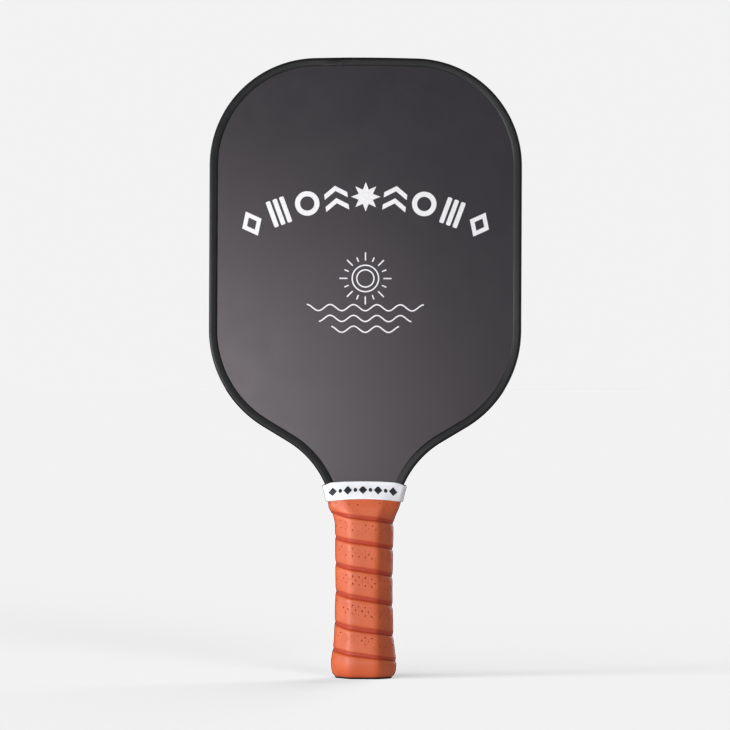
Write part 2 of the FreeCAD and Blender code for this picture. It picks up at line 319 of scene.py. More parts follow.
def open_middle(piece, width):
    """Insets the one face of a flat shape by width and takes the middle out."""
    edit(piece)
    bpy.ops.mesh.select_all(action="SELECT")
    bpy.ops.mesh.inset(thickness=width * MM, use_even_offset=True)
    bpy.ops.mesh.delete(type="FACE")
    leave_edit()
    return piece


def join_pieces(pieces, name):
    deselect_all()
    for piece in pieces:
        piece.select_set(True)
    bpy.context.view_layer.objects.active = pieces[0]
    bpy.ops.object.join()
    joined = bpy.context.object
    joined.name = name
    joined.data.name = name
    return joined


def flat_bar(width, height, x=0.0, y=0.0, round_by=0.0):
    """A bar in the XY plane, its corners rounded."""
    deselect_all()
    bpy.ops.mesh.primitive_plane_add(size=1, location=(x * MM, y * MM, 0))
    piece = bpy.context.object
    piece.scale = (width * MM, height * MM, 1)
    bpy.ops.object.transform_apply(location=True, rotation=False, scale=True)
    if round_by:
        edit(piece)
        bpy.ops.mesh.select_mode(type="VERT")
        bpy.ops.mesh.select_all(action="SELECT")
        bpy.ops.mesh.bevel(offset=round_by * MM, segments=4, affect="VERTICES")
        leave_edit()
    return piece


def diamond():
    narrow = (0.80, 1, 1)
    outline = 2.7
    return open_middle(flat_disc(4, ROW_HEIGHT / 2, narrow), outline)


def ring():
    outline = 3.3
    return open_middle(flat_disc(64, ROW_HEIGHT / 2 - OPTICAL_TRIM), outline)


def bars():
    """Three upright bars side by side."""
    width = 3.0
    pitch = 4.6
    corner_radius = 0.8
    three = [flat_bar(width, ROW_HEIGHT, x, 0, corner_radius) for x in (-pitch, 0, pitch)]
    return join_pieces(three, "bars")


def chevrons():
    """Two upward arrows, each a bar bent at its middle."""
    width = 15.0
    height = 3.4
    slope = 0.66
    made = []
    for lift in (-6.4, 1.6):
        piece = flat_bar(width, height, 0, lift)
        edit(piece)
        bpy.ops.mesh.select_all(action="SELECT")
        bpy.ops.mesh.subdivide(number_cuts=1)
        leave_edit()
        for corner in piece.data.vertices:
            corner.co.y += (width / 2 * MM - abs(corner.co.x)) * slope
        made.append(piece)
    return join_pieces(made, "chevrons")


def burst():
    """A solid eight-pointed star."""
    inner_share = 0.52
    facet = 1.0
    piece = flat_disc(16, ROW_HEIGHT / 2 + OPTICAL_TRIM)
    for corner in piece.data.vertices:
        if corner.index % 2:
            corner.co *= inner_share
    edit(piece)
    bpy.ops.mesh.select_all(action="SELECT")
    bpy.ops.mesh.inset(thickness=facet * MM, use_even_offset=True)
    leave_edit()
    return piece


def stand_up(piece, x, z, turn_degrees=0.0):
    """Turns a flat shape to face -Y on the front sheet, centred at x and z and turned clockwise."""
    piece.rotation_mode = "XYZ"
    piece.rotation_euler = (math.pi / 2, math.radians(turn_degrees), 0)
    piece.location = (x * MM, FACE_Y, z * MM)
    deselect_all()
    piece.select_set(True)
    bpy.context.view_layer.objects.active = piece
    bpy.ops.object.transform_apply(location=True, rotation=True, scale=True)
    return piece


def make_ink(piece, name, made, thickness=INK_THICKNESS):
    """Gives a flat print its thickness and material."""
    piece.name = name
    piece.data.name = name
    apply_modifier(piece, "SOLIDIFY", thickness=thickness, offset=1.0)
    piece.data.materials.clear()
    piece.data.materials.append(made)
    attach(piece, "root")
    return piece


row = []
shapes = [diamond, bars, ring, chevrons, burst, chevrons, ring, bars, diamond]
for place, shape in enumerate(shapes, start=-4):
    turn = place * ROW_STEP_DEGREES
    lean = math.radians(turn)
    row_x = ROW_RADIUS * math.sin(lean)
    row_z = ROW_CENTRE_Z + ROW_RADIUS * math.cos(lean)
    row.append(stand_up(shape(), row_x, row_z, turn))

SUN_RADIUS = 9.0
SUN_INNER_RADIUS = 6.0
SUN_Z = 259.5
RAY_COUNT = 16
RAY_GAP = 2.6                  # from the sun's outer ring to its rays
LONG_RAY = 5.4
SHORT_RAY = 3.2
WAVES = [(76.0, 240.5), (60.0, 233.5), (44.0, 226.5)]      # width and height of each line of water
WAVE_LENGTH = 15.2
WAVE_RISE = 2.0


def ray_bar(index):
    """One ray of the sun; every other ray is short."""
    length = LONG_RAY if index % 2 == 0 else SHORT_RAY
    piece = flat_bar(LINE_WIDTH, length, 0, SUN_RADIUS + RAY_GAP + length / 2, LINE_WIDTH * 0.49)
    return stand_up(piece, 0, SUN_Z, 360.0 * index / RAY_COUNT)


def wave_line(width, z):
    """A thin bar cut into short lengths and laid along a sine."""
    deselect_all()
    bpy.ops.mesh.primitive_grid_add(x_subdivisions=96, y_subdivisions=1, size=1)
    piece = bpy.context.object
    for corner in piece.data.vertices:
        along = corner.co.x * width
        phase = 2 * math.pi * along / WAVE_LENGTH
        slope = 2 * math.pi * WAVE_RISE / WAVE_LENGTH * math.sin(phase)
        across = Vector((-slope, 1, 0)).normalized() * corner.co.y * LINE_WIDTH
        corner.co = Vector((along, -WAVE_RISE * math.cos(phase), 0)) * MM + across * MM
    return stand_up(piece, 0, z)


def sun_ring(radius):
    return stand_up(open_middle(flat_disc(96, radius), LINE_WIDTH), 0, SUN_Z)


emblem = [sun_ring(SUN_RADIUS), sun_ring(SUN_INNER_RADIUS)]
emblem += [ray_bar(index) for index in range(RAY_COUNT)]
emblem += [wave_line(width, z) for width, z in WAVES]

white_ink, white_ink_shader = new_material("white_ink", (0.83, 0.83, 0.84), 0.5)
white_ink.node_tree.links.new(
    colour_steps(
        white_ink, object_noise(white_ink, 700, 5), [(0.3, (0.66, 0.66, 0.68)), (0.55, (0.76, 0.75, 0.77))]
    ),
    white_ink_shader.inputs["Base Color"],
)
add_bump(white_ink, white_ink_shader, object_noise(white_ink, 2600, 3), 0.1, 0.00005)


def copy_behind(piece, name):
    """The same print on the paddle's other side."""
    copy = piece.copy()
    copy.data = piece.data.copy()
    copy.name = name
    copy.data.name = name
    bpy.context.collection.objects.link(copy)
    copy.data.transform(Matrix.Rotation(math.pi, 4, "Z"))
    return copy


front_row = join_pieces(row, "face_row")
front_emblem = join_pieces(emblem, "face_emblem")
back_row = copy_behind(front_row, "back_row")
back_emblem = copy_behind(front_emblem, "back_emblem")
for print_piece in (front_row, front_emblem, back_row, back_emblem):
    make_ink(print_piece, print_piece.name, white_ink)


# ---- Mounting tape -------------------------------------------------------------------------------
# Thin double-sided foam tape on the panel's cut edge, grey-white, with an open-celled surface. It holds the
# guard and closes the honeycomb's cut cells.

foam, foam_shader = new_material("foam_tape", (0.6, 0.6, 0.58), 0.8)
foam_cells = object_noise(foam, 1500, 3)
foam.node_tree.links.new(
    colour_steps(foam, foam_cells, [(0.35, (0.52, 0.52, 0.50)), (0.65, (0.66, 0.66, 0.64))]),
    foam_shader.inputs["Base Color"],
)
add_bump(foam, foam_shader, foam_cells, 0.5, 0.0001)
cover_node("edge_tape_left", foam)
cover_node("edge_tape_right", foam)


# ---- Edge guard ----------------------------------------------------------------------------------
# A U-shaped channel extruded in black thermoplastic, pressed over the panel's edge in two strips. The lips
# lie on the faces, and the strips meet near the top in a slanted joint, left of the middle.

HEAD_LENGTH = 403.0            # millimetres, as are the guard's other sizes
HEAD_WIDTH = 203.0
CROWN_RADIUS = 1200.0
CORNER_RADIUS = 70.0
SHOULDER_RADIUS = 73.5
SHOULDER_Z = 226.0
SHOULDER_TURN = 59.0
FLANK_LENGTH = 18.7
NECK_RADIUS = 60.7
GUARD_END_Z = 111.0
ARC_STEP = 1.6                 # length of the guard's facets along its arcs
SEAM_INNER = (-18.6, 397.4)
SEAM_OUTER = (-8.8, 402.9)
SEAM_GAP_OUTER = 0.01
SEAM_GAP_INNER = 0.6
JOINT_ZONE = (45, 350)         # strips are cut and lifted only this near the middle, above this height
STRIP_OVERRUNS = (12, -30)     # where each strip is drawn from, before it is cut off
END_LIFT = 0.08                # share by which the left strip's end opens
LIFT_LENGTH = 7.0

WELD = 0.005
# half of the channel's section: how far in from the outer edge, and how far from the middle of the thickness
CHANNEL_HALF = [
    (0.10, 0.0), (0.0, 2.4), (0.0, 5.8), (0.05, 6.7), (0.25, 7.4), (0.62, 7.88), (1.15, 8.12), (1.8, 8.12),
    (3.0, 7.97), (4.15, 7.82), (4.65, 7.72), (5.1, 7.52), (5.42, 7.33), (5.5, 7.28), (5.0, 7.26),
    (1.8, 7.25), (1.8, 4.0), (1.8, 0.0),
]


def smooth_step(value, start, end):
    share = min(max((value - start) / (end - start), 0.0), 1.0)
    return share * share * (3 - 2 * share)


def arc_places(centre, radius, start_degrees, end_degrees):
    count = max(2, round(abs(math.radians(end_degrees - start_degrees)) * radius / ARC_STEP))
    for k in range(count + 1):
        turn = math.radians(start_degrees + (end_degrees - start_degrees) * k / count)
        yield centre[0] + radius * math.cos(turn), centre[1] + radius * math.sin(turn)


def edge_line(bottom_z):
    """The head's outer edge, right half, from the middle of the crown down the neck; X and Z."""
    crown_z = HEAD_LENGTH - CROWN_RADIUS
    corner_x = HEAD_WIDTH / 2 - CORNER_RADIUS
    corner_z = crown_z + math.sqrt((CROWN_RADIUS - CORNER_RADIUS) ** 2 - corner_x ** 2)
    crown_turn = math.degrees(math.atan2(corner_z - crown_z, corner_x))
    turn = math.radians(SHOULDER_TURN)
    outward = Vector((math.cos(turn), -math.sin(turn)))
    along = Vector((-math.sin(turn), -math.cos(turn)))
    shoulder = Vector((HEAD_WIDTH / 2 - SHOULDER_RADIUS, SHOULDER_Z))
    neck = shoulder + outward * (SHOULDER_RADIUS + NECK_RADIUS) + along * FLANK_LENGTH
    neck_end = 180.0 - math.degrees(math.asin((bottom_z - neck.y) / NECK_RADIUS))
    places = list(arc_places((0, crown_z), CROWN_RADIUS, 90.0, crown_turn))
    places += list(arc_places((corner_x, corner_z), CORNER_RADIUS, crown_turn, 0.0))[1:]
    places += list(arc_places(shoulder, SHOULDER_RADIUS, 0.0, -SHOULDER_TURN))
    places += list(arc_places(neck, NECK_RADIUS, 180.0 - SHOULDER_TURN, neck_end))
    return places


def flat_curve(name, places, closed):
    """A straight-segment curve in the XY plane."""
    curve = bpy.data.curves.new(name, "CURVE")
    curve.dimensions = "2D"
    curve.fill_mode = "NONE"
    spline = curve.splines.new("POLY")
    spline.points.add(len(places) - 1)
    for spot, (x, y) in zip(spline.points, places):
        spot.co = (x * MM, y * MM, 0, 1)
    spline.use_cyclic_u = closed
    made = bpy.data.objects.new(name, curve)
    bpy.context.collection.objects.link(made)
    return made


def lift_end(shape, across):
    """The left strip's end stands a little off the panel, as a cut end does."""
    for vertex in shape.verts:
        back = (Vector((SEAM_INNER[0], 0, SEAM_INNER[1])) * MM - vertex.co).dot(across) / MM
        if abs(vertex.co.x) < JOINT_ZONE[0] * MM and vertex.co.z > JOINT_ZONE[1] * MM:
            vertex.co.y *= 1 + END_LIFT * (1 - smooth_step(back, 0.0, LIFT_LENGTH))


def guard_strip(name, node, places, keep_left):
    """The channel's section drawn along the edge, stood up, and cut off at the slanted joint."""
    side = -1 if keep_left else 1
    half = [(side * inward, out) for inward, out in CHANNEL_HALF]
    section = half + [(inward, -out) for inward, out in half[-2:0:-1]]
    profile = flat_curve(name + "_section", section, True)
    path = flat_curve(name, places, False)
    path.data.bevel_mode = "OBJECT"
    path.data.bevel_object = profile
    path.data.use_fill_caps = True
    deselect_all()
    path.select_set(True)
    bpy.context.view_layer.objects.active = path
    bpy.ops.object.convert(target="MESH")
    bpy.data.objects.remove(profile)
    strip = bpy.context.object
    strip.rotation_euler = (math.pi / 2, 0, 0)
    bpy.ops.object.transform_apply(location=True, rotation=True, scale=True)

    inner_end = Vector((SEAM_INNER[0], 0, SEAM_INNER[1]))
    outer_end = Vector((SEAM_OUTER[0], 0, SEAM_OUTER[1]))
    run = (outer_end - inner_end).normalized()
    across = Vector((run.z, 0, -run.x))
    if not keep_left:
        inner_end += across * SEAM_GAP_INNER
        outer_end += across * SEAM_GAP_OUTER
        run = (outer_end - inner_end).normalized()
        across = Vector((run.z, 0, -run.x))
    edit(strip)
    shape = bmesh.from_edit_mesh(strip.data)
    for face in shape.faces:
        middle = face.calc_center_median() / MM
        face.select_set(abs(middle.x) < JOINT_ZONE[0] and middle.z > JOINT_ZONE[1])
    bmesh.update_edit_mesh(strip.data)
    bpy.ops.mesh.bisect(
        plane_co=inner_end * MM,
        plane_no=across,
        use_fill=True,
        clear_outer=keep_left,
        clear_inner=not keep_left,
    )
    if keep_left:
        lift_end(shape, across)
    bpy.ops.mesh.select_all(action="SELECT")
    bpy.ops.mesh.remove_doubles(threshold=WELD * MM)
    bpy.ops.mesh.normals_make_consistent(inside=False)
    leave_edit()
    bpy.ops.object.shade_smooth_by_angle(angle=math.radians(40))
    strip.data.materials.append(guard_black)
    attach(strip, "root")
    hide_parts(node)
    return strip


guard_black, guard_shader = new_material("guard_black", (0.012, 0.012, 0.013), 0.4)
guard_shader.inputs["Specular IOR Level"].default_value = 0.23
guard_clouds = object_noise(guard_black, 120, 5)
guard_black.node_tree.links.new(
    colour_steps(guard_black, guard_clouds, [(0.3, (0.006, 0.0064, 0.007)), (0.7, (0.009, 0.0094, 0.0102))]),
    guard_shader.inputs["Base Color"],
)
guard_black.node_tree.links.new(
    value_range(guard_black, guard_clouds, 0.36, 0.46, 0.3, 0.7),
    guard_shader.inputs["Roughness"],
)
add_bump(guard_black, guard_shader, object_noise(guard_black, 1800, 3), 0.12, 0.00005)

right_edge = edge_line(GUARD_END_Z)
left_edge = [(-x, z) for x, z in right_edge]
past_seam = [(x, z) for x, z in right_edge if x < STRIP_OVERRUNS[0] and z > SHOULDER_Z]
guard_strip("guard_strip_left", "edge_guard_left", past_seam[:0:-1] + left_edge, True)
before_seam = [(x, z) for x, z in left_edge if x > STRIP_OVERRUNS[1] and z > SHOULDER_Z]
guard_strip("guard_strip_right", "edge_guard_right", before_seam[:0:-1] + right_edge, False)


# ---- Handle shells -------------------------------------------------------------------------------
# Two halves moulded in dark plastic, with a fine spark-eroded texture. They are glued together round the
# panel's tongue, and the grip hides them.

moulded, moulded_shader = new_material("moulded_shell", (0.08, 0.08, 0.085), 0.6)
moulded_clouds = object_noise(moulded, 150)
moulded.node_tree.links.new(
    colour_steps(moulded, moulded_clouds, [(0.3, (0.07, 0.07, 0.075)), (0.7, (0.09, 0.09, 0.095))]),
    moulded_shader.inputs["Base Color"],
)
add_bump(moulded, moulded_shader, object_noise(moulded, 1600, 2), 0.25, 0.00006)
cover_node("handle_shell_front", moulded)
cover_node("handle_shell_back", moulded)


# ---- Butt cap ------------------------------------------------------------------------------------
# A cup moulded in black plastic, pushed over the shells' end. Only its rim and its foot show: the foot has a
# sunk panel with a raised ring round its middle.

CAP_FOOT = (17.5, 13.0, 8.5, 4.0)      # half width, half depth, half front flat, half side flat; millimetres
CAP_RIM = (18.4, 13.9, 8.9, 4.4)
CAP_RIM_HEIGHT = 0.55
CAP_BODY_TOP = 2.6
CAP_WALL_STEP = 1.7            # from the rim in to the cup that the grip covers
FOOT_STEPS = [(2.6, 0.6), (3.0, -0.4), (1.0, 0.4)]     # the foot's panel and ring: how far in, how far up
CAP_ROUND = 0.35


def eight_corners(sizes):
    half_width, half_depth, front_flat, side_flat = sizes
    return [
        (half_width, side_flat), (front_flat, half_depth),
        (-front_flat, half_depth), (-half_width, side_flat),
        (-half_width, -side_flat), (-front_flat, -half_depth),
        (front_flat, -half_depth), (half_width, -side_flat),
    ]


deselect_all()
bpy.ops.mesh.primitive_cylinder_add(vertices=8, radius=15 * MM, depth=1 * MM, end_fill_type="NGON")
cap = bpy.context.object
cap.name = "butt_cap_shell"


def set_loop(vertices, sizes, z):
    """Moves a ring of eight corners onto an octagon, each to the corner nearest its own bearing."""
    corners = sorted(eight_corners(sizes), key=lambda spot: math.atan2(spot[1], spot[0]))
    for vertex, (x, y) in zip(sorted(vertices, key=lambda v: math.atan2(v.co.y, v.co.x)), corners):
        vertex.co = Vector((x, y, z)) * MM


lower = [v for v in cap.data.vertices if v.co.z < 0]
upper = [v for v in cap.data.vertices if v.co.z > 0]
set_loop(lower, CAP_FOOT, 0.0)
set_loop(upper, CAP_RIM, CAP_RIM_HEIGHT)
edit(cap)
cap_shape = bmesh.from_edit_mesh(cap.data)
cap_shape.faces.ensure_lookup_table()
for face in cap_shape.faces:
    face.select_set(face.calc_center_median().z > 0.9 * CAP_RIM_HEIGHT * MM)
bmesh.update_edit_mesh(cap.data)
bpy.ops.mesh.inset(thickness=CAP_WALL_STEP * MM, use_even_offset=True)
cup_rise = (CAP_BODY_TOP - CAP_RIM_HEIGHT) * MM
bpy.ops.mesh.extrude_region_move(TRANSFORM_OT_translate={"value": (0, 0, cup_rise)})
bpy.ops.mesh.select_all(action="DESELECT")
cap_shape = bmesh.from_edit_mesh(cap.data)
for face in cap_shape.faces:
    face.select_set(abs(face.calc_center_median().z) < 0.01 * MM)
bmesh.update_edit_mesh(cap.data)
for inward, rise in FOOT_STEPS:
    bpy.ops.mesh.inset(thickness=inward * MM, use_even_offset=True)
    bpy.ops.mesh.extrude_region_move(TRANSFORM_OT_translate={"value": (0, 0, rise * MM)})
leave_edit()
apply_modifier(
    cap, "BEVEL", width=CAP_ROUND * MM, segments=3, limit_method="ANGLE", angle_limit=math.radians(20)
)
bpy.ops.object.shade_smooth_by_angle(angle=math.radians(40))

cap_black, cap_black_shader = new_material("cap_black", (0.02, 0.02, 0.022), 0.5)
cap_clouds = object_noise(cap_black, 200)
cap_black.node_tree.links.new(
    colour_steps(cap_black, cap_clouds, [(0.3, (0.017, 0.017, 0.019)), (0.7, (0.024, 0.024, 0.026))]),
    cap_black_shader.inputs["Base Color"],
)
add_bump(cap_black, cap_black_shader, object_noise(cap_black, 2200, 2), 0.25, 0.00006)
cap.data.materials.append(cap_black)
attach(cap, "root")
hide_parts("butt_cap")

# Two wire staples hold the cap to the shells.
wire, wire_shader = new_material("staple_wire", (0.6, 0.6, 0.62), 0.3, metallic=1.0)
wire.node_tree.links.new(
    value_range(wire, object_noise(wire, 900, 2, (1, 8, 8)), 0.22, 0.42, 0.3, 0.7),
    wire_shader.inputs["Roughness"],
)
cover_node("butt_cap_staples", wire)


# ---- Grip ----------------------------------------------------------------------------------------
# A strip of cushioned polyurethane, orange, with rows of punched holes and thinner edges. It starts
# as a tapered tongue at the butt and is wound upwards, each turn lapping the thin edge of the turn below.
# The thin edges in the grooves between turns, and the insides of the holes, carry painted shade.

# the handle under the grip: height, half width, half depth, half front flat, half side flat
HANDLE_SECTIONS = [
    (0.6, 16.5, 12.0, 8.1, 3.6), (1.6, 17.6, 13.1, 8.6, 4.1), (4.0, 18.9, 14.4, 9.2, 4.7),
    (10.0, 19.4, 14.9, 9.4, 4.9), (17.0, 18.4, 14.0, 8.9, 4.5), (25.0, 17.4, 13.1, 8.5, 4.2),
    (38.0, 17.0, 12.8, 8.4, 4.2),
    (57.0, 16.5, 12.5, 8.2, 4.2), (80.0, 16.8, 12.7, 8.4, 4.3), (101.0, 17.1, 12.8, 8.5, 4.2),
    (105.5, 18.4, 12.8, 9.0, 4.9), (111.0, 21.5, 12.8, 11.0, 7.5), (121.5, 24.0, 9.9, 12.0, 8.0),
]
# heights of the seams at the front's middle
SEAM_HEIGHTS = [-21.4, -3.6, 14.2, 30.6, 50.8, 69.4, 86.9, 103.3, 121.0, 138.8]
FIRST_TURN = -1                # the turn of the first seam height
HANDLE_SOFTNESS = 0.004        # share of the way round over which a corner is rounded
GRIP_FOOT = 0.6
GRIP_TOP = 121.3
TURN_WIDTH = 17.9
TURN_COLUMNS = 48
COLUMN = 2.3                   # width of a column, and of a row, while the strip lies flat
STRIP_START = -0.8125
STRIP_END = 7.0
LEAST_WIDTH = 0.25             # of the strip, at the tips where it is cut to nothing
END_SPREAD = 0.05              # what keeps the lapped rows apart above the grip's top
PUNCH_START = 0.45             # the first turn has no holes
PUNCH_MARGIN = 0.62
PUNCH_RIM = 0.15
PUNCH_DEPTH = 0.9
LEAST_PUNCH = 0.15             # the holes close up to this share of their depth
STAND_OFF = 1.1                # how far the last turn stands off where the neck widens
STAND_OFF_TURNS = (5.95, 6.15, 6.45, 6.6)      # where that starts, is full, lessens and ends
STAND_OFF_RISE = (3.0, 9.0)    # how far up the turn it lessens and ends
STRETCH_HEIGHTS = (104.0, 111.0)               # the strip is pulled thin from here on up
STRETCH = 0.33
SWELL = 0.05

FULL_THICKNESS = 1.8
# the strip's section: how far up the turn, how far out from the handle, and how much painted groove shade it
# has
STRIP_SECTION = [
    (0.25, 0.66, 1), (0.0, 0.95, 1), (0.5, 1.28, 1), (2.1, 1.32, 1), (2.4, 1.55, 0.7),
    (3.0, FULL_THICKNESS, 0), (5.7, 1.85, 0), (8.1, 1.87, 0), (10.5, 1.87, 0), (12.9, 1.87, 0),
    (15.3, 1.85, 0), (16.9, 1.74, 0), (17.5, 1.35, 0.3), (17.75, 0.62, 1), (20.2, 0.6, 1),
    (20.3, 0.05, 1), (12.0, 0.03, 0), (3.0, 0.05, 0), (2.4, 0.6, 1), (0.25, 0.66, 1),
]
PUNCHED_ROWS = {7: 0, 8: 1, 9: 0}      # rows of the section that are punched, and which columns: even or odd


def section_at(sections, z):
    """The four sizes of the octagon at a height, straight between the sections above and below."""
    if z <= sections[0][0]:
        return sections[0][1:]
    for below, above in zip(sections, sections[1:]):
        if z <= above[0]:
            share = (z - below[0]) / (above[0] - below[0])
            return [first + share * (second - first) for first, second in zip(below[1:], above[1:])]
    return sections[-1][1:]


# how far round the handle each corner lies, from the lengths of its sides
CORNER_SHARES = [0.0]
for side_length in (9.1, 13.4, 10.0, 13.4, 18.2, 13.4, 10.0, 13.4, 9.1):
    CORNER_SHARES.append(CORNER_SHARES[-1] + side_length)


def around(sizes, turn):
    """A point on the octagon at a share of the way round it, from the front's middle towards -X."""
    half_width, half_depth, front_flat, side_flat = sizes
    corners = [
        (0, -half_depth),
        (-front_flat, -half_depth), (-half_width, -side_flat),
        (-half_width, side_flat), (-front_flat, half_depth),
        (front_flat, half_depth), (half_width, side_flat),
        (half_width, -side_flat), (front_flat, -half_depth),
        (0, -half_depth),
    ]
    share = (turn % 1.0) * CORNER_SHARES[-1]
    for k in range(9):
        if share <= CORNER_SHARES[k + 1]:
            part = (share - CORNER_SHARES[k]) / (CORNER_SHARES[k + 1] - CORNER_SHARES[k])
            return Vector(corners[k]).lerp(Vector(corners[k + 1]), part)
    return Vector(corners[0])


def skin(sections, turn, z, height, softness):
    """A point at a height above the octagon's side, its corners rounded by softness; metres."""
    sizes = section_at(sections, z)
    spot = sum((around(sizes, turn + k * softness / 2) for k in (-2, -1, 0, 1, 2)), Vector((0, 0))) / 5
    along = around(sizes, turn + softness) - around(sizes, turn - softness)
    out = Vector((-along.y, along.x)).normalized()
    return Vector((spot.x + out.x * height, spot.y + out.y * height, z)) * MM


def seam_height(turn):
    """Height of the seam on its way up, with the hand-wound turns' small differences."""
    place = turn - FIRST_TURN
    k = min(max(int(place), 1), len(SEAM_HEIGHTS) - 3)
    t = place - k
    a, b, c, d = SEAM_HEIGHTS[k - 1:k + 3]
    smooth = b + 0.5 * t * (c - a + t * (2 * a - 5 * b + 4 * c - d + t * (3 * (b - c) + d - a)))
    gentle_front = -0.285 * math.sin(4 * math.pi * turn)
    wander = 0.35 * noise.noise(Vector((turn * 2.7, 0.0, 5.0)))
    return smooth + gentle_front + wander


deselect_all()
strip_columns = round((STRIP_END - STRIP_START) * TURN_COLUMNS)
strip_rows = len(STRIP_SECTION) - 1
bpy.ops.mesh.primitive_grid_add(x_subdivisions=strip_columns, y_subdivisions=strip_rows, size=1)
grip = bpy.context.object
grip.name = "grip_wrap"
grip.scale = (strip_columns * COLUMN * MM, strip_rows * COLUMN * MM, 1)
bpy.ops.object.transform_apply(location=False, rotation=False, scale=True)

edit(grip)
strip_shape = bmesh.from_edit_mesh(grip.data)
for face in strip_shape.faces:
    middle = face.calc_center_median() / MM / COLUMN
    column = math.floor(middle.x + strip_columns / 2)
    line = math.floor(middle.y + strip_rows / 2)
    wound = STRIP_START + column / TURN_COLUMNS
    punched = line in PUNCHED_ROWS and column % 2 == PUNCHED_ROWS[line] and wound > PUNCH_START
    face.select_set(punched)
bmesh.update_edit_mesh(grip.data)
bpy.ops.mesh.inset(thickness=PUNCH_MARGIN * MM, use_individual=True)
bpy.ops.mesh.extrude_region_move(TRANSFORM_OT_translate={"value": (0, 0, -PUNCH_RIM * MM)})
bpy.ops.mesh.extrude_region_move(TRANSFORM_OT_translate={"value": (0, 0, -PUNCH_DEPTH * MM)})
leave_edit()

edge_share = grip.data.attributes.new("thin_edge", "FLOAT", "POINT")
hole_share = grip.data.attributes.new("hole", "FLOAT", "POINT")
for vertex in grip.data.vertices:
    flat = vertex.co / MM / COLUMN
    turn = STRIP_START + (flat.x + strip_columns / 2) / TURN_COLUMNS
    place = min(max(flat.y + strip_rows / 2, 0.0), strip_rows - 1e-6)
    k = int(place)
    part = place - k
    up, out, dark = [
        first + part * (second - first) for first, second in zip(STRIP_SECTION[k], STRIP_SECTION[k + 1])
    ]
    seam = seam_height(turn)
    foot = max(seam, GRIP_FOOT)
    top = max(min(seam_height(turn + 1), GRIP_TOP), foot + LEAST_WIDTH)
    lapped = smooth_step(seam, GRIP_FOOT - 0.5, GRIP_FOOT + 1.5)
    past = up - TURN_WIDTH
    z = foot + up / TURN_WIDTH * (top - foot)
    if past > 0:
        z = min(top + past, GRIP_TOP + END_SPREAD * past + 0.02 * (turn - STRIP_END))

    # where the strip laps no turn below it, at the butt, its lower edge is as thick as its middle and lies in
    # no groove, so it gets no painted shade
    if up < 3.0 and 1 <= k <= 4:
        out += (FULL_THICKNESS - out) * (1 - lapped) * smooth_step(up, -0.5, 1.2)
        dark *= lapped
    swell = SWELL * noise.noise(Vector((turn * 9.0, z * 0.12, 1.0))) if out > 1.0 else 0.0

    # the holes have closed up unevenly
    sunk = flat.z * COLUMN
    if sunk < -0.1:
        wear = noise.cell(Vector((math.floor(flat.x) + 0.5, k + 0.5, 0.5)))
        sunk *= LEAST_PUNCH + (1 - LEAST_PUNCH) * smooth_step(wear, 0.15, 0.6)

    if out > 0.5:
        grows, full, lessens, ends = STAND_OFF_TURNS
        stands = smooth_step(turn, grows, full) * (1 - smooth_step(turn, lessens, ends))
        out += STAND_OFF * stands * (1 - smooth_step(up, *STAND_OFF_RISE))
    stretched = 1 - STRETCH * smooth_step(z, *STRETCH_HEIGHTS)
    # painted shade on the thin edges that lie in the grooves between turns
    edge_share.data[vertex.index].value = dark
    # painted shade inside the holes: the deeper the hole, the darker
    hole_share.data[vertex.index].value = smooth_step(-sunk, 0.1, 0.6)
    vertex.co = skin(HANDLE_SECTIONS, turn, z, (out + swell + sunk) * stretched, HANDLE_SOFTNESS)

edit(grip)
bpy.ops.mesh.select_all(action="SELECT")
bpy.ops.mesh.remove_doubles(threshold=0.0005 * MM)

# the strip's two ends are closed, first the one at the butt
bpy.ops.mesh.select_mode(type="EDGE")
for at_start in (True, False):
    strip_shape = bmesh.from_edit_mesh(grip.data)
    for side in strip_shape.edges:
        side.select_set(side.is_boundary and (side.verts[0].co.z < 0.06) == at_start)
    bmesh.update_edit_mesh(grip.data)
    bpy.ops.mesh.edge_face_add()
bpy.ops.mesh.select_all(action="SELECT")
bpy.ops.mesh.normals_make_consistent(inside=False)
leave_edit()
apply_modifier(grip, "SUBSURF", levels=1, render_levels=1)
bpy.ops.object.shade_smooth()


def attribute_value(made, name):
    reader = made.node_tree.nodes.new("ShaderNodeAttribute")
    reader.attribute_name = name
    return reader.outputs["Fac"]


def mix_colours(made, share, first, second):
    """first where share is 0, second where it is 1."""
    mixer = made.node_tree.nodes.new("ShaderNodeMix")
    mixer.data_type = "RGBA"
    made.node_tree.links.new(share, mixer.inputs["Factor"])
    for socket, value in ((mixer.inputs["A"], first), (mixer.inputs["B"], second)):
        if isinstance(value, tuple):
            socket.default_value = (*value, 1)
        else:
            made.node_tree.links.new(value, socket)
    return mixer.outputs["Result"]


orange, orange_shader = new_material("orange_grip", (0.66, 0.125, 0.05), 0.5)
orange_body = colour_steps(
    orange, object_noise(orange, 90, 5), [(0.3, (0.50, 0.084, 0.022)), (0.7, (0.585, 0.108, 0.032))]
)
